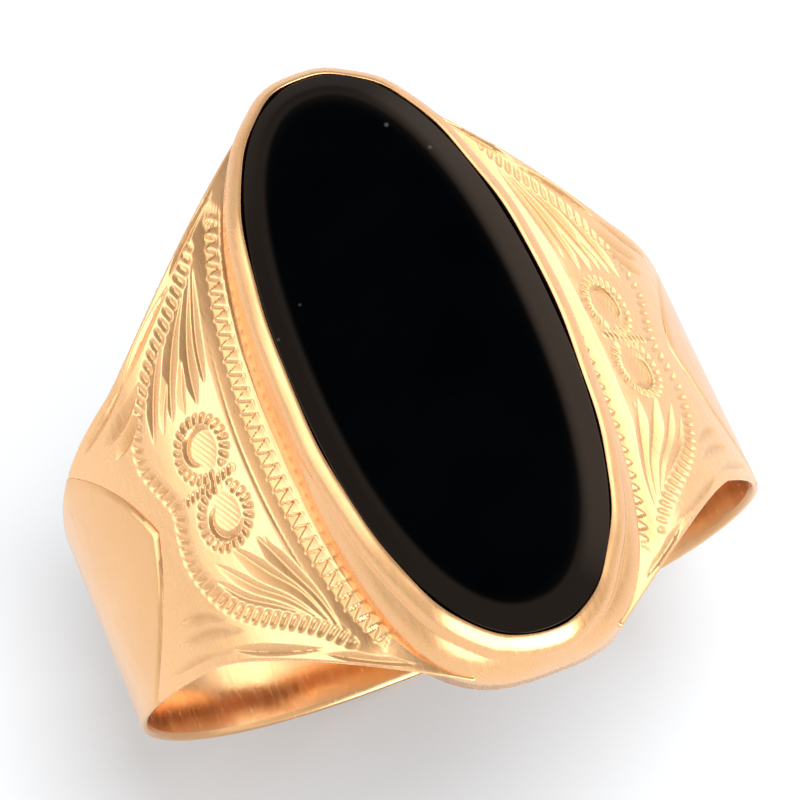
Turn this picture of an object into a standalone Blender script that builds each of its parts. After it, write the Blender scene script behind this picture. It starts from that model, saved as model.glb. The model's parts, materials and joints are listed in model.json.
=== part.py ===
"""Signet ring: a long oval tablet of black onyx in a rubover collet, on a band of bent sheet gold.

The band is flat sheet bent round the finger: two wide shoulders, engraved on the real ring, and a
plain shank that narrows towards the palm. Each shoulder meets the shank at a pointed seam.
Frame: +Z up through the tablet, Y along the finger, origin at the lowest point of the shank.
"""

from math import copysign, cos, degrees, pi, radians, sin

import bmesh
import bpy

MM = 0.001

# Band of sheet gold. Angles are taken round the finger's axis from the top, and the palm is at 180.
OUTER_RADIUS = 9.95 * MM
SHEET = 0.45 * MM
BORE_RADIUS = OUTER_RADIUS - SHEET
AXIS_Z = OUTER_RADIUS
CROWN_RISE = 0.60 * MM
SHOULDER_DIP = 0.17 * MM
BAND_Y = -0.24 * MM

# Half widths of the band along the finger. It narrows by the taper for each degree inside the tips.
PALM_HALF_WIDTH = 1.76 * MM
SHANK_WIDENING = 2.69 * MM
SHOULDER_FLARE = 4.20 * MM
WIDEST_HALF_WIDTH = 9.00 * MM
FLARE_END = 55.0
TIP_END = 12.5
TIP_TAPER = 0.20 * MM

# Pointed seam between a shoulder and the shank: its angle at mid width and how far it runs back.
SEAM_POINT = 55.5
SEAM_SLOPE = 10.0
SEAM_CURVE = 9.5
SEAM_GAP = 0.03 * MM
SEAM_HALF_GAP_ANGLE = degrees(SEAM_GAP / 2 / OUTER_RADIUS)
SHOULDER_START = 0.5
EDGE_ROUNDING = 0.10 * MM

# Oval of the tablet where the lip of the collet meets it. The other ovals are offsets from it.
# The collet's foot is fuller than the tablet where it turns into the near end, towards -Y.
OVAL_HALF_X = 3.90 * MM
OVAL_HALF_Y = 9.00 * MM
OVAL_POWER = 2.2
FOOT_POWER = 2.8
OVAL_STEPS = 112

# Heights of the setting above the finger's axis.
TABLE_Z = 11.95 * MM
GIRDLE_Z = 11.52 * MM
TABLET_BASE_Z = 10.10 * MM
LIP_Z = 11.80 * MM
FOOT_TOP_Z = 10.45 * MM

# Offsets from the oval: outwards is positive.
GIRDLE_OFFSET = 0.06 * MM
TABLE_OFFSET = -0.60 * MM
BASE_CHAMFER = 0.15 * MM
WALL_INNER = 0.11 * MM
WALL_OUTER = 0.44 * MM
FOOT_FLARE = 0.10 * MM
LIP_EDGE = 0.03 * MM
BEARING_OUTER = 0.08 * MM
BEARING_INNER = -0.50 * MM
BEARING_GAP = 0.03 * MM
SHOULDER_FIT = 0.03 * MM

# Rough ends, which the cutters trim off, and the cutters' own reach.
RING_CUT_Z = 8.0 * MM
CUTTER_TOP_Z = 14.0 * MM
CUTTER_BOTTOM_Z = 6.0 * MM
MANDREL_HALF_LENGTH = 12.0 * MM

# Grid of each sheet: steps round the finger and steps across the band.
SHOULDER_STEPS = (26, 22)
SHANK_STEPS = (60, 10)


def clear_scene():
    for old in list(bpy.data.objects):
        bpy.data.objects.remove(old, do_unlink=True)


def new_collection(name, hidden=False):
    made = bpy.data.collections.new(name)
    made.hide_render = hidden
    bpy.context.scene.collection.children.link(made)
    return made


def new_material(name, color, metallic, roughness):
    made = bpy.data.materials.new(name)
    made.use_nodes = True
    shader = made.node_tree.nodes["Principled BSDF"]
    shader.inputs["Base Color"].default_value = (*color, 1.0)
    shader.inputs["Metallic"].default_value = metallic
    shader.inputs["Roughness"].default_value = roughness
    made.diffuse_color = (*color, 1.0)
    return made


def new_object(name, mesh, collection, material=None):
    """A smooth-shaded object, with its corners kept sharp, from a finished bmesh."""
    data = bpy.data.meshes.new(name)
    mesh.to_mesh(data)
    mesh.free()
    data.shade_smooth()
    data.set_sharp_from_angle(angle=radians(35))
    if material:
        data.materials.append(material)
    made = bpy.data.objects.new(name, data)
    collection.objects.link(made)
    return made


# The band


def sheet_radius(angle):
    """Outer radius of the sheet: round at the shank, a little flat at the shoulders, raised on top."""
    turn = radians(min(angle, 360.0 - angle))
    if turn > pi / 2:
        return OUTER_RADIUS
    return OUTER_RADIUS - SHOULDER_DIP * sin(2 * turn) ** 2 + CROWN_RISE * cos(turn) ** 6


def half_width(angle):
    """Half width of the band along the finger, from the palm's narrow end to the shoulders."""
    angle = min(angle, 360.0 - angle)
    taper = SHANK_WIDENING * ((180.0 - angle) / 125.0) ** 1.5
    flare = SHOULDER_FLARE * max(0.0, 1.0 - angle / FLARE_END) ** 1.4
    tip = WIDEST_HALF_WIDTH - TIP_TAPER * max(0.0, TIP_END - angle)
    return min(PALM_HALF_WIDTH + taper + flare, tip)


def seam_angle(across):
    """Angle of the pointed seam, where across runs from -1 at one rim to 1 at the other."""
    return SEAM_POINT + SEAM_SLOPE * abs(across) + SEAM_CURVE * across ** 2


def sheet_point(angle, across):
    radius = sheet_radius(angle)
    turn = radians(angle)
    return (radius * sin(turn), across * half_width(angle) + BAND_Y, AXIS_Z + radius * cos(turn))


def bent_sheet(steps, angle_at, side):
    """An open sheet facing out, where angle_at(along, across) places each of its grid's points."""
    mesh = bmesh.new()
    bmesh.ops.create_grid(mesh, x_segments=steps[0], y_segments=steps[1], size=1.0)
    for vert in mesh.verts:
        along = (vert.co.x + 1.0) / 2.0
        across = vert.co.y
        x, y, z = sheet_point(angle_at(along, across), across)
        vert.co = (side * x, y, z)
    if side < 0:
        bmesh.ops.reverse_faces(mesh, faces=mesh.faces[:])
    return mesh


def thicken(sheet):
    """Gives the sheet its thickness, inwards, and takes the sharpness off its edges."""
    shell = sheet.modifiers.new("thickness", "SOLIDIFY")
    shell.thickness = SHEET
    shell.offset = -1.0
    shell.use_even_offset = True
    edges = sheet.modifiers.new("edges", "BEVEL")
    edges.width = EDGE_ROUNDING
    edges.segments = 2
    edges.limit_method = "ANGLE"
    edges.angle_limit = radians(50)


def make_shoulder(name, side, collection, material, opening):
    """One shoulder, from under the collet out to the seam, with the collet's opening cut from it."""

    def angle_at(along, across):
        end = seam_angle(across) - SEAM_HALF_GAP_ANGLE
        return SHOULDER_START + along * (end - SHOULDER_START)

    shoulder = new_object(name, bent_sheet(SHOULDER_STEPS, angle_at, side), collection, material)
    thicken(shoulder)
    cut(shoulder, opening)
    return shoulder


def make_shank(collection, material):
    """The plain strip, from one pointed seam round the palm to the other."""

    def angle_at(along, across):
        start = seam_angle(across) + SEAM_HALF_GAP_ANGLE
        return start + along * (360.0 - 2.0 * start)

    shank = new_object("plain_shank", bent_sheet(SHANK_STEPS, angle_at, 1), collection, material)
    thicken(shank)
    return shank


# The setting


def oval_loop(mesh, offset, height, near_power=OVAL_POWER):
    """One closed loop of points round the tablet's oval, moved outwards by offset."""
    loop = []
    for step in range(OVAL_STEPS):
        turn = 2 * pi * step / OVAL_STEPS
        power = near_power if step > OVAL_STEPS / 2 else OVAL_POWER
        reach_x = copysign(abs(cos(turn)) ** (2 / power), cos(turn))
        reach_y = copysign(abs(sin(turn)) ** (2 / power), sin(turn))
        x = (OVAL_HALF_X + offset) * reach_x
        y = (OVAL_HALF_Y + offset) * reach_y
        loop.append(mesh.verts.new((x, y, AXIS_Z + height)))
    return loop


def skin(mesh, lower, upper):
    for step in range(OVAL_STEPS):
        after = (step + 1) % OVAL_STEPS
        mesh.faces.new((lower[step], lower[after], upper[after], upper[step]))


def solid_loft(levels):
    """A solid between oval loops, listed from the bottom up."""
    mesh = bmesh.new()
    loops = [oval_loop(mesh, *level) for level in levels]
    for lower, upper in zip(loops, loops[1:]):
        skin(mesh, lower, upper)
    mesh.faces.new(reversed(loops[0]))
    mesh.faces.new(loops[-1])
    return mesh


def ring_loft(profile):
    """A closed ring: the profile goes up its outer side and down its inner side."""
    mesh = bmesh.new()
    loops = [oval_loop(mesh, *point) for point in profile]
    for lower, upper in zip(loops, loops[1:] + loops[:1]):
        skin(mesh, lower, upper)
    return mesh


def make_tablet(collection, material):
    """Flat table, bevelled edge, upright girdle and a chamfered base."""
    mesh = solid_loft([
        (GIRDLE_OFFSET - BASE_CHAMFER, TABLET_BASE_Z),
        (GIRDLE_OFFSET, TABLET_BASE_Z + BASE_CHAMFER),
        (GIRDLE_OFFSET, GIRDLE_Z),
        (TABLE_OFFSET, TABLE_Z),
    ])
    return new_object("onyx_tablet", mesh, collection, material)


def make_collet(collection, material, mandrel):
    """Upright wall with a rounded lip that leans over the tablet's edge; its foot fits the finger."""
    mesh = ring_loft([
        (WALL_OUTER + FOOT_FLARE, RING_CUT_Z, FOOT_POWER),
        (WALL_OUTER + FOOT_FLARE, FOOT_TOP_Z, FOOT_POWER),
        (WALL_OUTER, LIP_Z - 0.70 * MM),
        (WALL_OUTER, LIP_Z - 0.30 * MM),
        (WALL_OUTER - 0.08 * MM, LIP_Z - 0.08 * MM),
        (WALL_OUTER - 0.24 * MM, LIP_Z),
        (LIP_EDGE, LIP_Z - 0.14 * MM),
        (LIP_EDGE, GIRDLE_Z + 0.08 * MM),
        (WALL_INNER, GIRDLE_Z + 0.03 * MM),
        (WALL_INNER, RING_CUT_Z),
    ])
    collet = new_object("setting_collet", mesh, collection, material)
    cut(collet, mandrel)
    return collet


def make_bearing(collection, material, mandrel):
    """Inner ledge that the tablet sits on, fixed inside the collet's wall."""
    top = TABLET_BASE_Z - BEARING_GAP
    mesh = ring_loft([
        (BEARING_OUTER, RING_CUT_Z),
        (BEARING_OUTER, top),
        (BEARING_INNER, top),
        (BEARING_INNER, RING_CUT_Z),
    ])
    bearing = new_object("bearing_ledge", mesh, collection, material)
    cut(bearing, mandrel)
    return bearing


# Cutters


def as_cutter(cutter):
    cutter.hide_render = True
    cutter.display_type = "WIRE"
    return cutter


def make_mandrel(collection):
    """The finger's round, used to fit the setting's foot to it."""
    mesh = bmesh.new()
    bmesh.ops.create_cone(
        mesh, cap_ends=True, segments=144, depth=2 * MANDREL_HALF_LENGTH,
        radius1=BORE_RADIUS, radius2=BORE_RADIUS,
    )
    mandrel = new_object("mandrel_cutter", mesh, collection)
    mandrel.rotation_euler = (pi / 2, 0.0, 0.0)
    mandrel.location = (0.0, 0.0, AXIS_Z)
    return as_cutter(mandrel)


def make_opening(collection):
    """The oval opening through the shoulders that the collet passes through."""
    edge = WALL_OUTER + FOOT_FLARE + SHOULDER_FIT
    mesh = solid_loft([(edge, CUTTER_BOTTOM_Z, FOOT_POWER), (edge, CUTTER_TOP_Z, FOOT_POWER)])
    return as_cutter(new_object("opening_cutter", mesh, collection))


def cut(target, cutter):
    boolean = target.modifiers.new("cut by " + cutter.name, "BOOLEAN")
    boolean.operation = "DIFFERENCE"
    boolean.solver = "EXACT"
    boolean.object = cutter


def main():
    clear_scene()
    parts = new_collection("signet_ring")
    cutters = new_collection("cutters", hidden=True)
    mandrel = make_mandrel(cutters)
    opening = make_opening(cutters)

    onyx = new_material("black_onyx", (0.008, 0.008, 0.009), 0.0, 0.06)
    collet_gold = new_material("collet_gold", (0.90, 0.56, 0.30), 1.0, 0.16)
    bearing_gold = new_material("bearing_gold", (0.80, 0.46, 0.22), 1.0, 0.35)
    left_gold = new_material("left_engraved_gold", (0.91, 0.58, 0.32), 1.0, 0.22)
    right_gold = new_material("right_engraved_gold", (0.91, 0.58, 0.32), 1.0, 0.22)
    shank_gold = new_material("shank_gold", (0.90, 0.55, 0.29), 1.0, 0.14)

    make_tablet(parts, onyx)
    make_collet(parts, collet_gold, mandrel)
    make_bearing(parts, bearing_gold, mandrel)
    make_shoulder("left_shoulder", -1, parts, left_gold, opening)
    make_shoulder("right_shoulder", 1, parts, right_gold, opening)
    make_shank(parts, shank_gold)


main()
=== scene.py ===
"""Signet ring: engraved sheet gold shoulders, a rubbed-over collet and a polished black onyx tablet."""

import json
from math import cos, pi, radians

import bpy
import numpy as np
from mathutils import Matrix, Vector


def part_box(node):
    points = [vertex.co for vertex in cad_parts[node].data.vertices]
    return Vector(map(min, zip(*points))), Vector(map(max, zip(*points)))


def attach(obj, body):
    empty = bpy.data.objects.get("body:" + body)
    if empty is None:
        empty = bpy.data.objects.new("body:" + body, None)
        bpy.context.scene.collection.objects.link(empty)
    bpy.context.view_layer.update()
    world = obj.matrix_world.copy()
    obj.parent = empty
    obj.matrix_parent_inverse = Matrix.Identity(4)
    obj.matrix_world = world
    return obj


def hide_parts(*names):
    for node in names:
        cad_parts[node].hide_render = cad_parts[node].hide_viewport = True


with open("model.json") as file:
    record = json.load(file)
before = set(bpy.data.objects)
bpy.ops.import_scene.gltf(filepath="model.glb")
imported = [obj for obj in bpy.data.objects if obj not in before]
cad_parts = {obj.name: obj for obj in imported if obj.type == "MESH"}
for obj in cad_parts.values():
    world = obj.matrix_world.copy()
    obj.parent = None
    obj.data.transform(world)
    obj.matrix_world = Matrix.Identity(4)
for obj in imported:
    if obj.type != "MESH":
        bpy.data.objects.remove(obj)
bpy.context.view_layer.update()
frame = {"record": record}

MM = 0.001


def box_mm(node):
    """Lowest and highest corner of a CAD node."""
    return [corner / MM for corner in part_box(node)]


# Sizes in millimetres, from the frame.
tablet_low, tablet_high = box_mm("onyx_tablet")
finger_hole = next(m for m in frame["record"]["mounts"] if m["name"] == "finger_hole")

OUTER_RADIUS = box_mm("plain_shank")[1].x
AXIS_Z = OUTER_RADIUS
BORE_RADIUS = finger_hole["dims"]["r_mm"]
SHEET = OUTER_RADIUS - BORE_RADIUS
BAND_Y = finger_hole["pos_m"][1] / MM
TABLE_TOP = tablet_high.z
TABLET_BASE = tablet_low.z
LIP_TOP = box_mm("setting_collet")[1].z
BEARING_TOP = box_mm("bearing_ledge")[1].z
GIRDLE_X = tablet_high.x
GIRDLE_Y = tablet_high.y

# Course of the band round the finger. Angles are in degrees from the top.
HALF_TURN = 180.0
CROWN_RISE = 0.60
CROWN_POWER = 6
SHOULDER_DIP = 0.17
PALM_HALF_WIDTH = finger_hole["dims"]["length_mm"] / 2
SHANK_WIDENING = 2.69
SHANK_POWER = 1.5
SHOULDER_FLARE = 4.20
FLARE_END = 55.0
FLARE_POWER = 1.4
WIDEST_HALF_WIDTH = 9.00
TIP_END = 12.5
TIP_TAPER = 0.20
SEAM_POINT = 55.5
SEAM_SLOPE = 10.0
SEAM_CURVE = 9.5

# The rims: how far the outer face stops short of them, and how the inner face comes up towards them.
RIM_INSET = 0.10
RIM_THINNING = 0.22
RIM_BAND = 1.6

# How a sheet's edge goes round from its outer face to its inner one. Each step has the share of RIM_INSET
# that it stands out by, and its depth below the outer face where the sheet has its full thickness.
# LEAST_STEP keeps each step a little below the one before, even under a cut.
INNER_EDGE = -0.9
EDGE_STEPS = ((0.45, 0.012), (0.80, 0.045), (1.0, 0.11), (0.9, 0.26), (0.35, 0.36), (INNER_EDGE, 0.45))
LEAST_STEP = 0.01

# Grid steps along and across a sheet's outer face, and how many of them make one of the inner face's.
SHOULDER_STEPS = (200, 340)
SHOULDER_RATIO = 10
SHANK_STEPS = (360, 60)
SHANK_RATIO = 6

# The tablet's oval, and the fuller one of the collet's foot at its near end, towards -Y.
# Offsets are from the tablet's girdle.
OVAL_POWER = 2.2
FOOT_POWER = 2.8
WALL_OUT = 0.38
FOOT_OUT = 0.48
FOOT_TOP = AXIS_Z + 10.45
FOOT_ROUNDING = 0.06
SHEET_INTO_FOOT = 0.10
SEARCH_ANGLES = (0.5, 40.0)
SEARCH_STEPS = 24


# The sheet


def from_top(angle):
    """How far round from the top an angle is, on whichever side."""
    return np.minimum(angle, 2 * HALF_TURN - angle)


def sheet_radius(angle):
    """Radius of the sheet's outer face."""
    turn = np.radians(angle)
    crown = np.where(turn < pi / 2, np.cos(turn) ** CROWN_POWER, 0.0)
    dip = np.where(turn < pi / 2, np.sin(2 * turn) ** 2, 0.0)
    return OUTER_RADIUS - SHOULDER_DIP * dip + CROWN_RISE * crown


def half_width(angle):
    """Half of the band's width: it narrows towards the palm and flares towards the setting."""
    taper = SHANK_WIDENING * ((HALF_TURN - angle) / (HALF_TURN - FLARE_END)) ** SHANK_POWER
    flare = SHOULDER_FLARE * np.maximum(0.0, 1.0 - angle / FLARE_END) ** FLARE_POWER
    tip = WIDEST_HALF_WIDTH - TIP_TAPER * np.maximum(0.0, TIP_END - angle)
    return np.minimum(PALM_HALF_WIDTH + taper + flare, tip)


def thickness(angle, across):
    """The sheet's thickness: its inner face comes up a little towards the rims."""
    from_rim = (1.0 - np.abs(across)) * half_width(angle)
    return SHEET - RIM_THINNING * np.clip(1.0 - from_rim / RIM_BAND, 0.0, 1.0) ** 2


def seam_angle(across):
    """The gable-shaped seam between shoulder and shank. Across runs from -1 at one rim to 1 at the other."""
    return SEAM_POINT + SEAM_SLOPE * np.abs(across) + SEAM_CURVE * across ** 2


def far_seam_angle(across):
    """The other side's seam, reached by way of the palm."""
    return 2 * HALF_TURN - seam_angle(across)


def in_foot(x, y, offset):
    """Below 1 inside the collet's foot, taken offset outside the tablet's girdle."""
    reach_x = np.abs(x) / (GIRDLE_X + offset)
    reach_y = np.abs(y) / (GIRDLE_Y + offset)
    power = np.where(y < 0, FOOT_POWER, OVAL_POWER)
    return reach_x ** power + reach_y ** power


def collet_angle(across):
    """Angle at which the sheet goes into the collet's wall, for each place across the band."""
    near = np.full_like(across, SEARCH_ANGLES[0])
    far = np.full_like(across, SEARCH_ANGLES[1])
    for _ in range(SEARCH_STEPS):
        middle = (near + far) / 2
        x = sheet_radius(middle) * np.sin(np.radians(middle))
        y = across * half_width(middle) + BAND_Y
        inside = in_foot(x, y, FOOT_OUT - SHEET_INTO_FOOT) < 1.0
        near = np.where(inside, middle, near)
        far = np.where(inside, far, middle)
    return near


def ripple(angle, across):
    """Slight hand-worked unevenness of the inner face."""
    broad = 0.020 * np.sin(angle / 4.1) * np.cos(2.2 * across + angle / 17.0)
    fine = 0.011 * np.sin(angle / 1.7 + 2.5 * across) * np.sin(angle / 6.3 + 0.8)
    return broad + fine


def border(rows, columns):
    """Row and column of each grid point round the border, in order."""
    i = np.arange(rows)
    j = np.arange(columns)
    return (
        np.concatenate([i, np.full(columns, rows), rows - i, np.zeros(columns, int)]),
        np.concatenate([np.zeros(rows, int), j, np.full(rows, columns), columns - j]),
    )


def quads(a, b, c, d):
    return np.stack([a.ravel(), b.ravel(), c.ravel(), d.ravel()], axis=1)


def grid_quads(ids):
    return quads(ids[:-1, :-1], ids[1:, :-1], ids[1:, 1:], ids[:-1, 1:])


def band_quads(outer, inner):
    """Quads between two closed loops of as many points each."""
    return quads(outer, inner, np.roll(inner, -1), np.roll(outer, -1))


def stitches(fine, coarse, ratio):
    """Triangles between a fine loop and a coarse one that has a point at every ratio-th of its points."""
    found = []
    for step in range(len(coarse)):
        here = coarse[step]
        after = coarse[(step + 1) % len(coarse)]
        first = step * ratio
        for k in range(ratio):
            a = fine[first + k]
            b = fine[(first + k + 1) % len(fine)]
            found.append((a, here if k < ratio // 2 else after, b))
            if k == ratio // 2 - 1:
                found.append((b, here, after))
    return found


def sheet_grid(rows, columns, start, end):
    """Angle and place across of each grid point of a sheet that runs from one outline to another."""
    shape = (rows + 1, columns + 1)
    across = np.broadcast_to(np.linspace(-1.0, 1.0, columns + 1), shape)
    along = np.broadcast_to(np.linspace(0.0, 1.0, rows + 1)[:, None], shape)
    first = start(across)
    return first + along * (end(across) - first), across


def sheet_piece(name, side, steps, ratio, start, end, relief):
    """A closed piece of bent sheet. relief(s, y, seam) is the height of the outer face's engraving."""
    rows, columns = steps

    def place(angle, across, widen, radius):
        turn = np.radians(angle)
        y = across * (half_width(from_top(angle)) - RIM_INSET * (1.0 - widen)) + BAND_Y
        return np.stack([side * radius * np.sin(turn), y, AXIS_Z + radius * np.cos(turn)], axis=-1)

    angle, across = sheet_grid(rows, columns, start, end)
    folded = from_top(angle)
    s = np.radians(folded) * OUTER_RADIUS
    y = across * (half_width(folded) - RIM_INSET)
    height = relief(s, y, np.radians(seam_angle(across)) * OUTER_RADIUS)
    face = sheet_radius(folded)
    points = [place(angle, across, 0.0, face + height).reshape(-1, 3)]
    ids = np.arange(angle.size).reshape(angle.shape)
    faces = [grid_quads(ids)]

    edge = border(rows, columns)
    thin = (thickness(folded, across) / SHEET)[edge]
    loop = ids[edge]
    made = ids.size
    for count, (widen, drop) in enumerate(EDGE_STEPS, 1):
        depth = np.maximum(drop * thin, LEAST_STEP * count - height[edge])
        points.append(place(angle[edge], across[edge], widen, face[edge] - depth))
        new = made + np.arange(len(loop))
        made += len(loop)
        faces.append(band_quads(loop, new))
        loop = new

    inner_angle, inner_across = sheet_grid(rows // ratio, columns // ratio, start, end)
    inner_folded = from_top(inner_angle)
    inner_face = sheet_radius(inner_folded) - thickness(inner_folded, inner_across)
    inner_radius = inner_face + ripple(inner_folded, inner_across)
    points.append(place(inner_angle, inner_across, INNER_EDGE, inner_radius).reshape(-1, 3))
    inner_ids = made + np.arange(inner_angle.size).reshape(inner_angle.shape)
    faces.append(grid_quads(inner_ids)[:, ::-1])
    coarse = inner_ids[border(rows // ratio, columns // ratio)]

    polygons = [tuple(quad) for group in faces for quad in group.tolist()]
    polygons += [tuple(map(int, corners)) for corners in stitches(loop, coarse, ratio)]
    if side < 0:
        polygons = [polygon[::-1] for polygon in polygons]
    every = np.concatenate(points) * MM
    depths = np.zeros(len(every), np.float32)
    depths[:ids.size] = -height.ravel()
    return mesh_object(name, every, polygons, sharp=42, depths=depths)


def mesh_object(name, points, polygons, sharp, depths=None):
    """A smooth-shaded mesh, its edges sharp above an angle. depths is how deep each point is cut."""
    data = bpy.data.meshes.new(name)
    data.from_pydata(points.tolist(), [], polygons)
    data.validate()
    data.shade_smooth()
    data.set_sharp_from_angle(angle=radians(sharp))
    if depths is not None:
        data.attributes.new("cut_depth", "FLOAT", "POINT").data.foreach_set("value", depths)
    made = bpy.data.objects.new(name, data)
    bpy.context.scene.collection.objects.link(made)
    return made


# Engraving, in millimetres: s runs from the top round the finger, y along it from the band's middle.
# Each kind of cut lowers the heights that it reaches, and never raises one.

LEAF_WIDENING = 1.4
LEAF_DEEPENING = 1.45
LINE_FADE = 0.3
TOOTH_POWER = 1.15
TOOTH_FADE = 0.8
TOOTH_TILT = 0.45
TOOTH_WALL = 0.11
TEETH_ROOT = (0.04, 0.05)  # where the cut starts behind the teeth's roots, and how wide that wall is
HOLLOW = (2.3, 1.2)  # how far the hollow band reaches and over how much it fades, in widths of the teeth
HATCH_DEPTH = 0.010
SEAM_CUT = (0.16, 0.08)  # width and depth on the shoulder's side
SHANK_SEAM_CUT = (0.14, 0.07)  # the same on the shank's side

COLLET_GROOVE = [
    (3.0, 7.5), (3.75, 5.8), (4.15, 3.9), (4.34, 2.0), (4.38, 0.0),
    (4.33, -2.0), (4.12, -3.9), (3.7, -5.8), (3.1, -7.3),
]
TEETH = [
    (3.45, -6.95), (4.0, -5.5), (4.40, -3.7), (4.62, -1.9), (4.70, 0.0),
    (4.62, 1.9), (4.38, 3.7), (4.0, 5.4), (3.45, 6.9), (3.2, 7.3),
]
TEETH_LINE = [
    (4.35, 6.8), (4.8, 5.6), (5.12, 4.2), (5.40, 2.6), (5.56, 0.9),
    (5.56, -0.9), (5.42, -2.6), (5.17, -4.2), (4.85, -5.6), (4.4, -6.6),
]
TICKED_BORDER = [
    (4.55, 6.8), (5.3, 5.9), (6.2, 5.15), (7.2, 4.45), (8.1, 3.7), (8.85, 2.8),
    (9.1, 1.9), (8.75, 0.95), (8.45, 0.1), (8.65, -0.7), (8.75, -1.5), (8.45, -2.5),
    (7.9, -3.4), (7.1, -4.15), (6.2, -4.8), (5.4, -5.45), (4.7, -6.2),
]
SCROLL_TIE = [(6.1, 0.12), (7.0, 0.08), (8.1, 0.1)]
SCROLLS = (((6.85, 1.15), 1), ((6.95, -0.95), -1))  # centre, and which way it winds

# Leaves: course, width, depth and lean.
UPPER_PLUMES = [
    ([(4.7, 6.2), (5.2, 5.0), (5.6, 3.9), (5.85, 2.7)], 0.36, 0.060, 0.2),
    ([(4.9, 5.95), (5.65, 4.6), (6.1, 3.5), (6.35, 2.3)], 0.52, 0.075, 0.2),
    ([(5.3, 5.6), (6.25, 4.5), (6.95, 3.4), (7.4, 2.35)], 0.46, 0.075, 0.2),
    ([(6.6, 4.75), (7.3, 4.0), (7.85, 3.2), (8.35, 2.2)], 0.42, 0.075, 0.2),
    ([(6.15, 4.1), (6.55, 3.4), (6.8, 2.9), (6.88, 2.3)], 0.34, 0.050, -0.3),
    ([(6.5, 4.3), (7.15, 3.5), (7.6, 2.9), (7.85, 2.25)], 0.30, 0.050, -0.3),
]
LOWER_PLUMES = [
    ([(4.85, -6.0), (5.2, -4.7), (5.75, -3.4), (6.25, -2.0)], 0.52, 0.075, 0.2),
    ([(5.0, -5.7), (5.65, -4.2), (6.45, -3.1), (7.25, -1.75)], 0.48, 0.075, 0.2),
    ([(5.2, -5.4), (6.05, -4.2), (7.0, -3.25), (7.95, -1.95)], 0.34, 0.060, 0.2),
    ([(5.5, -5.0), (6.5, -4.05), (7.4, -3.3), (8.15, -2.4)], 0.28, 0.050, -0.3),
    ([(5.3, -4.3), (5.6, -3.5), (5.9, -2.8), (6.0, -2.1)], 0.26, 0.045, -0.3),
]
OUTER_CUTS = [
    ([(8.3, 3.55), (9.1, 3.05), (10.1, 2.7)], 0.40, 0.065, -0.3),
    ([(7.9, 4.15), (9.0, 3.6), (10.4, 3.25)], 0.40, 0.065, -0.3),
    ([(5.5, 6.05), (7.0, 5.25), (8.6, 4.35)], 0.26, 0.060, 0.3),
    ([(8.3, 4.50), (9.8, 3.95), (11.6, 3.65)], 0.26, 0.055, 0.3),
    ([(3.3, 7.75), (4.4, 6.98), (5.6, 6.15)], 0.24, 0.055, 0.3),
]


def smooth_path(corners, steps=10):
    """A Catmull-Rom curve through the corners."""
    c = np.array(corners, float)
    c = np.concatenate([[2 * c[0] - c[1]], c, [2 * c[-1] - c[-2]]])
    t = np.linspace(0.0, 1.0, steps, endpoint=False)[:, None]
    runs = []
    for p0, p1, p2, p3 in zip(c, c[1:], c[2:], c[3:]):
        runs.append(0.5 * (
            2 * p1 + (p2 - p0) * t + (2 * p0 - 5 * p1 + 4 * p2 - p3) * t ** 2
            + (3 * p1 - p0 - 3 * p2 + p3) * t ** 3
        ))
    return np.concatenate(runs + [c[-2:-1]])


def along_path(s, y, path, reach):
    """Which points lie near a path, how far along it and off it they are, and the path's length.

    Near is within reach of the path's box. The distance off it is below 0 on the path's right.
    """
    low = path.min(0) - reach
    high = path.max(0) + reach
    near = (s > low[0]) & (s < high[0]) & (y > low[1]) & (y < high[1])
    ps = s[near]
    py = y[near]
    best = np.full(ps.shape, np.inf)
    along = np.zeros(ps.shape)
    off = np.zeros(ps.shape)
    run = 0.0
    for a, b in zip(path, path[1:]):
        step = b - a
        length = np.hypot(*step)
        ds = ps - a[0]
        dy = py - a[1]
        t = np.clip((ds * step[0] + dy * step[1]) / length ** 2, 0.0, 1.0)
        gap = np.hypot(ds - t * step[0], dy - t * step[1])
        closer = gap < best
        best = np.where(closer, gap, best)
        along = np.where(closer, run + t * length, along)
        off = np.where(closer, np.copysign(gap, step[0] * dy - step[1] * ds), off)
        run += length
    return near, along, off, run


def carve(height, near, value):
    height[near] = np.minimum(height[near], value)


def end_fade(along, length, reach):
    """From 0 at both ends of a path to 1 at reach from them."""
    return np.clip(np.minimum(along, length - along) / reach, 0.0, 1.0)


def leaf(s, y, height, corners, width, depth, lean, belly=0.6):
    """A bright cut pointed at both ends, one wall broad and one steep. belly is where it's widest."""
    width *= LEAF_WIDENING
    depth *= LEAF_DEEPENING
    near, along, off, length = along_path(s, y, smooth_path(corners), width)
    t = along / length
    rising = np.sin(t / belly * pi / 2)
    falling = np.cos((t - belly) / (1 - belly) * pi / 2)
    swell = np.where(t < belly, rising, falling) ** 0.8
    x = off / (width / 2 * np.maximum(swell, 0.02))
    wall = np.where(x < lean, (x + 1) / (1 + lean), (1 - x) / (1 - lean))
    carve(height, near, -depth * swell * np.clip(wall, 0.0, 1.0))


def line(s, y, height, corners, width, depth):
    """A plain line cut, even in width."""
    near, along, off, length = along_path(s, y, smooth_path(corners), width)
    wall = np.clip(1.0 - np.abs(off) / (width / 2), 0.0, 1.0)
    carve(height, near, -depth * end_fade(along, length, LINE_FADE) * wall)


def ticks(s, y, height, corners, pitch, length, depth, slant, duty):
    """Short cuts side by side across a path. duty is the share of the pitch that a cut takes."""
    near, along, off, _ = along_path(s, y, smooth_path(corners), length)
    phase = (along + slant * off) / pitch
    comb = np.clip(1.0 - np.abs((phase % 1.0) - 0.5) * 2 / duty, 0.0, 1.0)
    window = np.clip(1.6 * (1.0 - np.abs(off) / (length / 2)), 0.0, 1.0)
    carve(height, near, -depth * comb * window)


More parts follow.
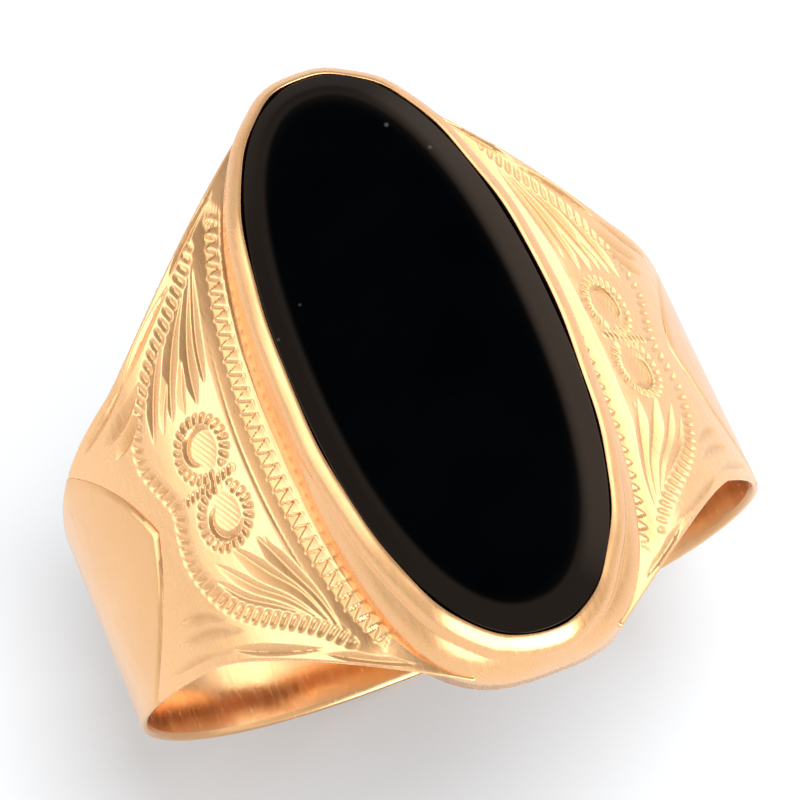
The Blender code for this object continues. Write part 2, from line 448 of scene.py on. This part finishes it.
def wriggle(s, y, height, corners, pitch, width, depth):
    """A row of teeth left standing by a graver rocked from side to side, with a hollow band beyond them."""
    near, along, off, length = along_path(s, y, smooth_path(corners), 3 * width)
    phase = (along / pitch) % 1.0
    out = -off
    tip = width * (1.0 - np.abs(2 * phase - 1.0) ** TOOTH_POWER)
    beyond = np.clip((out - tip) / TOOTH_WALL, 0.0, 1.0)
    fade = np.clip((HOLLOW[0] * width - out) / (HOLLOW[1] * width), 0.0, 1.0)
    inside = np.clip((out + TEETH_ROOT[0]) / TEETH_ROOT[1], 0.0, 1.0)
    tilt = TOOTH_TILT * phase * np.clip((width - out) / width, 0.0, 1.0)
    ends = end_fade(along, length, TOOTH_FADE)
    carve(height, near, -depth * ends * inside * np.maximum(beyond * fade, tilt))


def dish(s, y, height, centre, reach, depth, hatch):
    """A polished hollow with fine hatching across it."""
    away = np.hypot((s - centre[0]) / reach[0], (y - centre[1]) / reach[1])
    near = away < 1.0
    hollow = np.cos(away[near] * pi / 2) ** 0.7
    comb = np.abs((((s - 0.6 * y)[near] / hatch) % 1.0) - 0.5) * 2
    rim = np.clip(3 * (1 - away[near]), 0.0, 1.0)
    carve(height, near, -depth * hollow - HATCH_DEPTH * comb * rim)


def arc(centre, radius, start, turn, inward=0.0, steps=13):
    """Corners of an arc, or of a spiral when inward takes some of its radius away."""
    t = np.linspace(0.0, 1.0, steps)
    reach = radius - inward * t
    angle = np.radians(start + turn * t)
    return np.stack([centre[0] + reach * np.cos(angle), centre[1] + reach * np.sin(angle)], axis=1)


def scroll(s, y, height, centre, way):
    """A ring of ticks round a polished eye with a leaf wound into it."""
    ring = arc(centre, 0.88, -100 * way, 330 * way)
    ticks(s, y, height, ring, pitch=0.25, length=0.42, depth=0.065, slant=0.2, duty=1.0)
    dish(s, y, height, centre, reach=(0.58, 0.74), depth=0.035, hatch=0.17)
    spiral = arc(centre, 0.66, 150 * way, -250 * way, inward=0.30)
    leaf(s, y, height, spiral, width=0.30, depth=0.070, lean=0.3 * way, belly=0.4)


def engraving(s, y, seam):
    """Height of a shoulder's outer face, with all its cuts."""
    height = np.zeros(s.shape)

    # Border along the collet: foot groove, standing strip, teeth, hollow band and a line.
    line(s, y, height, COLLET_GROOVE, width=0.20, depth=0.06)
    wriggle(s, y, height, TEETH, pitch=0.41, width=0.45, depth=0.085)
    line(s, y, height, TEETH_LINE, width=0.26, depth=0.035)

    for plume in UPPER_PLUMES + LOWER_PLUMES:
        leaf(s, y, height, *plume)

    # Ticked border, pulled in between the scrolls.
    ticks(s, y, height, TICKED_BORDER, pitch=0.34, length=0.60, depth=0.075, slant=0.35, duty=1.0)
    for centre, way in SCROLLS:
        scroll(s, y, height, centre, way)
    ticks(s, y, height, SCROLL_TIE, pitch=0.22, length=0.32, depth=0.07, slant=0.5, duty=0.9)

    # Cuts outside the border, mirrored about the band's middle.
    for way in (1, -1):
        for corners, width, depth, lean in OUTER_CUTS:
            mirrored = [(along, across * way) for along, across in corners]
            leaf(s, y, height, mirrored, width, depth, lean * way)

    cut_width, cut_depth = SEAM_CUT
    return np.minimum(height, -cut_depth * np.clip(1.0 - (seam - s) / cut_width, 0.0, 1.0))


def plain(s, y, seam):
    """The shank's outer face: smooth but for the seam's cut at each end."""
    worn = 0.006 * np.sin(1.3 * s + 0.4) * np.sin(0.9 * y + 0.7)
    cut_width, cut_depth = SHANK_SEAM_CUT
    return worn - cut_depth * np.clip(1.0 - (s - seam) / cut_width, 0.0, 1.0)


# The setting

COLLET_STEPS = 720
TABLET_STEPS = 360

# The foot's easing into the wall: distance inside FOOT_OUT, height above FOOT_TOP, unevenness and power.
FOOT_EASING = [
    (0.0, -0.4, 0.01, FOOT_POWER), (0.01, 0.0, 0.02, 2.70), (0.03, 0.22, 0.03, 2.56),
    (0.06, 0.40, 0.04, 2.42), (FOOT_OUT - WALL_OUT - 0.01, 0.54, 0.05, 2.30),
]

# The lip, rubbed down over the tablet: offset from the girdle and height above LIP_TOP.
LIP = [
    (0.385, -0.72), (0.38, -0.62), (0.36, -0.53), (0.32, -0.44), (0.27, -0.36), (0.21, -0.29),
    (0.15, -0.225), (0.09, -0.165), (0.035, -0.115), (-0.02, -0.08), (-0.055, -0.067),
    (-0.075, -0.08), (-0.082, -0.13), (-0.082, -0.25),
]
LIP_SWAY = 0.06

# The tablet above its girdle: offset from the girdle, depth below TABLE_TOP and share of the table's shift.
TABLE_SHIFT = (-0.08, 0.04, 0.0)
TABLET_RISE = [
    (-0.01, 0.46, 0.0), (-0.04, 0.42, 0.0), (-0.10, 0.375, 0.0), (-0.105, 0.30, 0.0),
    (-0.118, 0.272, 0.0), (-0.136, 0.256, 0.05), (-0.16, 0.245, 0.1), (-0.47, 0.135, 0.8),
    (-0.55, 0.105, 0.9), (-0.63, 0.080, 1.0), (-0.72, 0.060, 1.0), (-0.82, 0.045, 1.0),
    (-0.95, 0.033, 1.0), (-1.3, 0.020, 1.0), (-2.0, 0.008, 1.0), (-2.8, 0.002, 1.0), (-3.4, 0.0, 1.0),
]

# The bearing's inner and outer face, as offsets from the girdle, and how its edges are rounded.
BEARING_IN = -0.56
BEARING_OUT = 0.02
BEARING_ROUNDING = 0.05


def oval_ring(offset, height, steps, sway=0.0, power=OVAL_POWER):
    """One loop of points round the oval, moved outwards by offset from the girdle.

    Power is the near half's. Sway is how far the loop strays in and out.
    """
    turn = np.linspace(0.0, 2 * pi, steps, endpoint=False)
    c = np.cos(turn)
    s = np.sin(turn)
    power = np.where(s < -1e-9, power, OVAL_POWER)
    waves = 0.5 * np.sin(3 * turn + 1.1) + 0.35 * np.sin(8 * turn + 0.3) + 0.25 * np.sin(17 * turn + 2.0)
    uneven = sway * waves
    x = (GIRDLE_X + offset + uneven) * np.sign(c) * np.abs(c) ** (2 / power)
    y = (GIRDLE_Y + offset + uneven) * np.sign(s) * np.abs(s) ** (2 / power)
    z = np.broadcast_to(height, turn.shape) + 0.6 * uneven
    return np.stack([x, y, z], axis=1)


def bore_height(offset, steps, power=OVAL_POWER):
    """Height of the finger's round at each point of an oval loop."""
    x = oval_ring(offset, 0.0, steps, 0.0, power)[:, 0]
    return AXIS_Z + np.sqrt(np.maximum(BORE_RADIUS ** 2 - x ** 2, 0.0))


def ring_faces(loops, steps):
    """Quads between each loop of points and the next."""
    ids = np.arange(loops * steps).reshape(loops, steps)
    found = []
    for lower, upper in zip(ids, ids[1:]):
        found += quads(lower, np.roll(lower, -1), np.roll(upper, -1), upper).tolist()
    return found


def closing_faces(loops, steps):
    """Quads between the last loop and the first."""
    last = np.arange((loops - 1) * steps, loops * steps)
    first = np.arange(steps)
    return quads(last, np.roll(last, -1), np.roll(first, -1), first).tolist()


def make_collet():
    """Wall, rounded lip rubbed down over the tablet's edge, and a foot that fits the finger."""
    steps = COLLET_STEPS
    foot = bore_height(FOOT_OUT, steps, FOOT_POWER)
    profile = [
        (FOOT_OUT - FOOT_ROUNDING, foot, 0.0, FOOT_POWER),
        (FOOT_OUT, foot + FOOT_ROUNDING, 0.0, FOOT_POWER),
    ]
    profile += [(FOOT_OUT - inset, FOOT_TOP + up, sway, power) for inset, up, sway, power in FOOT_EASING]
    profile += [(out, LIP_TOP + up, LIP_SWAY, OVAL_POWER) for out, up in LIP]
    profile += [
        (0.0, LIP_TOP - 0.30, 0.0, OVAL_POWER),
        (0.03, TABLET_BASE, 0.0, OVAL_POWER),
        (0.05, bore_height(0.05, steps), 0.0, OVAL_POWER),
    ]
    loops = [oval_ring(out, z, steps, sway, power) for out, z, sway, power in profile]
    faces = ring_faces(len(loops), steps) + closing_faces(len(loops), steps)
    return mesh_object("rubover_collet", np.concatenate(loops) * MM, faces, sharp=50)


def make_tablet():
    """Polished table, very slightly domed and a little off centre, with a bevel and an upright girdle."""
    steps = TABLET_STEPS
    levels = [(-0.15, TABLET_BASE, 0.0), (-0.01, TABLET_BASE + 0.15, 0.0)]
    levels += [(out, TABLE_TOP - down, share) for out, down, share in TABLET_RISE]
    loops = [oval_ring(out, z, steps) + np.array(TABLE_SHIFT) * share for out, z, share in levels]
    faces = ring_faces(len(loops), steps)
    last = (len(loops) - 1) * steps
    faces.append(list(range(last, last + steps)))
    faces.append(list(range(steps))[::-1])
    return mesh_object("polished_onyx_tablet", np.concatenate(loops) * MM, faces, sharp=60)


def make_bearing():
    """Ledge that the tablet sits on, its edges a little rounded."""
    steps = TABLET_STEPS
    eased_out = BEARING_OUT - BEARING_ROUNDING
    eased_in = BEARING_IN + 0.06
    profile = [
        (BEARING_OUT, bore_height(BEARING_OUT, steps)),
        (BEARING_OUT, BEARING_TOP - BEARING_ROUNDING),
        (eased_out, BEARING_TOP),
        (eased_in, BEARING_TOP),
        (BEARING_IN, BEARING_TOP - BEARING_ROUNDING),
        (BEARING_IN, bore_height(BEARING_IN, steps) + BEARING_ROUNDING),
        (eased_in, bore_height(eased_in, steps)),
    ]
    loops = [oval_ring(out, z, steps) for out, z in profile]
    faces = ring_faces(len(loops), steps) + closing_faces(len(loops), steps)
    return mesh_object("bearing_ring", np.concatenate(loops) * MM, faces, sharp=35)


# Materials

# Each gold: colour, roughness, and how far wear takes the roughness up and, by half as much, down.
ENGRAVED_GOLD = ((0.945, 0.556, 0.276), 0.24, 0.08)
# The shank's gold: the gold's own colour, made darker than the shoulders' as painted shade for the inside of
# the band.
SHANK_GOLD_WITH_PAINTED_SHADE = ((0.870, 0.500, 0.238), 0.21, 0.07)
COLLET_GOLD = ((0.890, 0.505, 0.242), 0.24, 0.08)
BEARING_GOLD = ((0.90, 0.52, 0.24), 0.34, 0.14)
CLOUDED = (0.975, 0.95, 0.91)  # what the clouds in a gold's colour multiply it by
# Painted shade in the engraving's cuts: the colour that a deep cut goes towards, the depths where that shade
# starts and is darkest, and how much of that colour it takes.
PAINTED_SHADE_IN_CUTS = (0.66, 0.35, 0.14)
CUT_SHADE_DEPTHS = (0.012, 0.09)  # where the painted shade in a cut starts, and where it is darkest
CUT_SHADE_SHARE = 0.65

ONYX_TONES = ((0.0002, 0.0004, 0.0006), (0.0005, 0.0008, 0.0010))
ONYX_DUST = (0.035, 0.034, 0.033)
ONYX_POLISH = (0.035, 0.075)
ONYX_IOR = 1.54
ONYX_SPECULAR = 0.38
ONYX_GLOSS_TINT = (1.0, 0.70, 0.52, 1.0)

FLOOR_TONES = ((0.555, 0.575, 0.595), (0.55, 0.57, 0.59))


class Nodes:
    """Short ways to add nodes to a material."""

    def __init__(self, name):
        self.material = bpy.data.materials.new(name)
        self.material.use_nodes = True
        self.tree = self.material.node_tree
        self.shader = self.tree.nodes["Principled BSDF"]
        self.place = self.add("ShaderNodeTexCoord").outputs["Object"]

    def add(self, kind, **values):
        made = self.tree.nodes.new(kind)
        for name, value in values.items():
            setattr(made, name, value)
        return made

    def link(self, source, target):
        self.tree.links.new(source, target)

    def noise(self, per_mm, detail=3.0, stretch=(1.0, 1.0, 1.0), distortion=0.0):
        """Noise with per_mm features in each millimetre."""
        scaled = self.add("ShaderNodeMapping")
        scaled.inputs["Scale"].default_value = stretch
        self.link(self.place, scaled.inputs["Vector"])
        made = self.add("ShaderNodeTexNoise")
        made.inputs["Scale"].default_value = per_mm / MM
        made.inputs["Detail"].default_value = detail
        made.inputs["Distortion"].default_value = distortion
        self.link(scaled.outputs["Vector"], made.inputs["Vector"])
        return made.outputs["Fac"]

    def spread(self, source, low, high, from_low=0.3, from_high=0.7):
        """The source taken from one range to another."""
        made = self.add("ShaderNodeMapRange")
        made.inputs["From Min"].default_value = from_low
        made.inputs["From Max"].default_value = from_high
        made.inputs["To Min"].default_value = low
        made.inputs["To Max"].default_value = high
        self.link(source, made.inputs["Value"])
        return made.outputs["Result"]

    def blend(self, factor, first, second):
        """From the first colour to the second one. Each is a tuple or another node's output."""
        made = self.add("ShaderNodeMix", data_type="RGBA")
        for name, value in (("A", first), ("B", second)):
            socket = next(i for i in made.inputs if i.name == name and i.type == "RGBA")
            if isinstance(value, tuple):
                socket.default_value = (*value, 1.0)
            else:
                self.link(value, socket)
        self.link(factor, made.inputs["Factor"])
        return next(o for o in made.outputs if o.type == "RGBA")

    def bump(self, height, strength, depth_mm, before=None):
        made = self.add("ShaderNodeBump")
        made.inputs["Strength"].default_value = strength
        made.inputs["Distance"].default_value = depth_mm * MM
        self.link(height, made.inputs["Height"])
        if before:
            self.link(before, made.inputs["Normal"])
        return made.outputs["Normal"]


def gold(name, look, engraved=False):
    """Rose-yellow gold: slight shifts of colour, hairline scratches, and on engraved pieces painted shade
    deep in a cut.
    """
    color, rough, wear = look
    n = Nodes(name)
    cloud = n.spread(n.noise(per_mm=0.5, detail=4.0), 0.0, 1.0)
    tone = n.blend(cloud, color, tuple(c * share for c, share in zip(color, CLOUDED)))
    if engraved:
        # Painted shade: the deeper a cut, the darker and more orange its colour.
        depth = n.add("ShaderNodeAttribute", attribute_name="cut_depth").outputs["Fac"]
        tone = n.blend(n.spread(depth, 0.0, CUT_SHADE_SHARE, *CUT_SHADE_DEPTHS), tone, PAINTED_SHADE_IN_CUTS)
    n.link(tone, n.shader.inputs["Base Color"])
    n.shader.inputs["Metallic"].default_value = 1.0
    hairlines = n.noise(per_mm=9.0, detail=5.0, stretch=(1.0, 0.12, 0.25), distortion=0.6)
    dents = n.noise(per_mm=2.2, detail=4.0)
    n.link(n.spread(hairlines, rough - wear / 2, rough + wear), n.shader.inputs["Roughness"])
    waved = n.bump(n.noise(per_mm=0.45, detail=2.0), strength=0.40, depth_mm=0.06)
    dented = n.bump(dents, strength=0.25, depth_mm=0.012, before=waved)
    scratched = n.bump(hairlines, strength=0.05, depth_mm=0.003, before=dented)
    n.link(scratched, n.shader.inputs["Normal"])
    return n.material


def onyx():
    """Opaque black stone with a high polish, faint rubbing marks and a few specks of dust."""
    n = Nodes("polished_black_onyx")
    cells = n.add("ShaderNodeTexVoronoi")
    cells.inputs["Scale"].default_value = 0.9 / MM
    n.link(n.place, cells.inputs["Vector"])
    speck = n.spread(cells.outputs["Distance"], 1.0, 0.0, 0.04, 0.08)
    body = n.blend(n.spread(n.noise(per_mm=0.3), 0.0, 1.0), *ONYX_TONES)
    n.link(n.blend(speck, body, ONYX_DUST), n.shader.inputs["Base Color"])
    marks = n.noise(per_mm=7.0, detail=4.0, stretch=(1.0, 0.15, 1.0), distortion=0.4)
    n.link(n.spread(marks, *ONYX_POLISH), n.shader.inputs["Roughness"])
    waved = n.bump(n.noise(per_mm=0.25, detail=1.0), strength=0.12, depth_mm=0.01)
    n.link(waved, n.shader.inputs["Normal"])
    n.shader.inputs["IOR"].default_value = ONYX_IOR
    n.shader.inputs["Specular IOR Level"].default_value = ONYX_SPECULAR
    n.shader.inputs["Specular Tint"].default_value = ONYX_GLOSS_TINT
    return n.material


def pale_floor():
    n = Nodes("pale_floor")
    n.link(n.blend(n.spread(n.noise(per_mm=0.02), 0.0, 1.0), *FLOOR_TONES), n.shader.inputs["Base Color"])
    n.shader.inputs["Roughness"].default_value = 0.7
    n.shader.inputs["Specular IOR Level"].default_value = 0.1
    return n.material


def dress(piece, material, node):
    """Gives a piece its material, hangs it under the root body, and hides the CAD node that it stands for."""
    piece.data.materials.clear()
    piece.data.materials.append(material)
    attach(piece, "root")
    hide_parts(node)


# Stage

FLOOR_HALF = 1.5  # metres

# The studio's light, as the polished gold mirrors it. Each lobe has its direction, the angles in degrees
# from it at which it starts to fade and is gone, and the light that it adds or takes away.
STUDIO_LEVEL = 0.52
STUDIO_LOBES = [
    ((0.0, 0.0, -1.0), 108, 130, 0.26),  # below and low round the sides
    ((0.17, 0.36, 0.92), 7, 18, -0.52),  # darkness that the table mirrors
    ((-0.60, 0.35, 0.72), 5, 22, -0.10),  # a little shade, high on the left
    ((0.18, -0.88, 0.34), 14, 34, 4.5),  # bright, low and near
    ((-0.60, -0.70, 0.34), 12, 30, 3.2),  # bright, low and near on the left
    ((0.80, 0.30, 0.50), 10, 34, 0.8),  # right
    ((0.95, 0.28, 0.05), 10, 36, 1.2),  # low on the right
    ((-0.88, 0.34, 0.34), 6, 24, 1.7),  # low on the left
    ((0.15, 0.98, 0.25), 15, 42, -0.20),  # shade, low at the back
]

# A softbox over the ring, in millimetres and watts. It only makes the floor's soft shadow and the ring's
# diffuse light: it isn't mirrored.
SOFTBOX_PLACE = (25, 0, 200)
SOFTBOX_TARGET = (0, 0, 5)
SOFTBOX_SIZE = 100
SOFTBOX_POWER = 0.37

# The camera, in millimetres: the way towards it, the picture's right, the point that it is square to, and how
# far that point lies right of and above the picture's centre.
VIEW = Vector((-0.18278, -0.34906, 0.91910))
VIEW_RIGHT = Vector((0.92523, -0.37723, 0.04073))
VIEW_DISTANCE = 112.7
LENS = 172.0
SENSOR = 36.0
AIM = Vector((0.0, -0.24, 13.80))
AIM_OFFSET = (0.45, -1.87)


def make_floor():
    data = bpy.data.meshes.new("floor")
    half = FLOOR_HALF
    corners = [(-half, -half, 0), (half, -half, 0), (half, half, 0), (-half, half, 0)]
    data.from_pydata(corners, [], [(0, 1, 2, 3)])
    floor = bpy.data.objects.new("floor", data)
    bpy.context.scene.collection.objects.link(floor)
    data.materials.append(pale_floor())


def make_world():
    """A pale studio: an even level with soft lobes of light added one after another."""
    world = bpy.data.worlds.new("studio")
    world.use_nodes = True
    bpy.context.scene.world = world
    tree = world.node_tree
    background = tree.nodes["Background"]
    place = tree.nodes.new("ShaderNodeTexCoord")
    total = None
    for direction, inner, outer, amount in STUDIO_LOBES:
        dot = tree.nodes.new("ShaderNodeVectorMath")
        dot.operation = "DOT_PRODUCT"
        dot.inputs[1].default_value = Vector(direction).normalized()
        tree.links.new(place.outputs["Generated"], dot.inputs[0])
        fade = tree.nodes.new("ShaderNodeMapRange")
        fade.interpolation_type = "SMOOTHSTEP"
        fade.inputs["From Min"].default_value = cos(radians(outer))
        fade.inputs["From Max"].default_value = cos(radians(inner))
        fade.inputs["To Max"].default_value = amount
        tree.links.new(dot.outputs["Value"], fade.inputs["Value"])
        added = tree.nodes.new("ShaderNodeMath")
        if total is None:
            added.inputs[0].default_value = STUDIO_LEVEL
        else:
            tree.links.new(total, added.inputs[0])
        tree.links.new(fade.outputs["Result"], added.inputs[1])
        total = added.outputs["Value"]
    tree.links.new(total, background.inputs["Strength"])
    background.inputs["Color"].default_value = (1.0, 1.0, 1.0, 1.0)


def make_softbox():
    data = bpy.data.lights.new("top", "AREA")
    data.size = SOFTBOX_SIZE * MM
    data.energy = SOFTBOX_POWER
    light = bpy.data.objects.new("top", data)
    light.location = Vector(SOFTBOX_PLACE) * MM
    towards = Vector(SOFTBOX_TARGET) * MM - light.location
    light.rotation_euler = towards.to_track_quat("-Z", "Y").to_euler()
    light.visible_camera = False
    light.visible_glossy = False
    bpy.context.scene.collection.objects.link(light)


def make_camera():
    """The photograph's camera, turned so that AIM falls AIM_OFFSET away from the picture's centre."""
    data = bpy.data.cameras.new("camera")
    data.lens = LENS
    data.sensor_width = SENSOR
    data.clip_start = 0.005
    data.clip_end = 10.0
    away = VIEW.normalized()
    up = away.cross(VIEW_RIGHT).normalized()
    right = up.cross(away)
    place = AIM + away * VIEW_DISTANCE
    centre = AIM - right * AIM_OFFSET[0] - up * AIM_OFFSET[1]
    back = (place - centre).normalized()
    right = up.cross(back).normalized()
    up = back.cross(right)
    turn = Matrix((right, up, back)).transposed().to_4x4()
    camera = bpy.data.objects.new("camera", data)
    camera.matrix_world = Matrix.Translation(place * MM) @ turn
    bpy.context.scene.collection.objects.link(camera)
    bpy.context.scene.camera = camera


def add_shoulder(side, word):
    piece = sheet_piece(
        word + "_shoulder_engraved", side, SHOULDER_STEPS, SHOULDER_RATIO, collet_angle, seam_angle, engraving
    )
    # The engraved gold carries painted shade in its cuts.
    shoulder_gold_and_shade = gold(word + "_engraved_gold_and_painted_shade", ENGRAVED_GOLD, engraved=True)
    dress(piece, shoulder_gold_and_shade, word + "_shoulder")


def add_shank():
    piece = sheet_piece("polished_shank", 1, SHANK_STEPS, SHANK_RATIO, seam_angle, far_seam_angle, plain)
    # The shank's gold is darker as painted shade for the inside of the band.
    dress(piece, gold("polished_gold", SHANK_GOLD_WITH_PAINTED_SHADE), "plain_shank")


def main():
    add_shoulder(-1, "left")
    add_shoulder(1, "right")
    add_shank()
    dress(make_collet(), gold("burnished_gold", COLLET_GOLD), "setting_collet")
    dress(make_bearing(), gold("unpolished_gold", BEARING_GOLD), "bearing_ledge")
    dress(make_tablet(), onyx(), "onyx_tablet")
    make_floor()
    make_world()
    make_softbox()
    bpy.context.scene.view_settings.view_transform = "Standard"
    make_camera()


main()
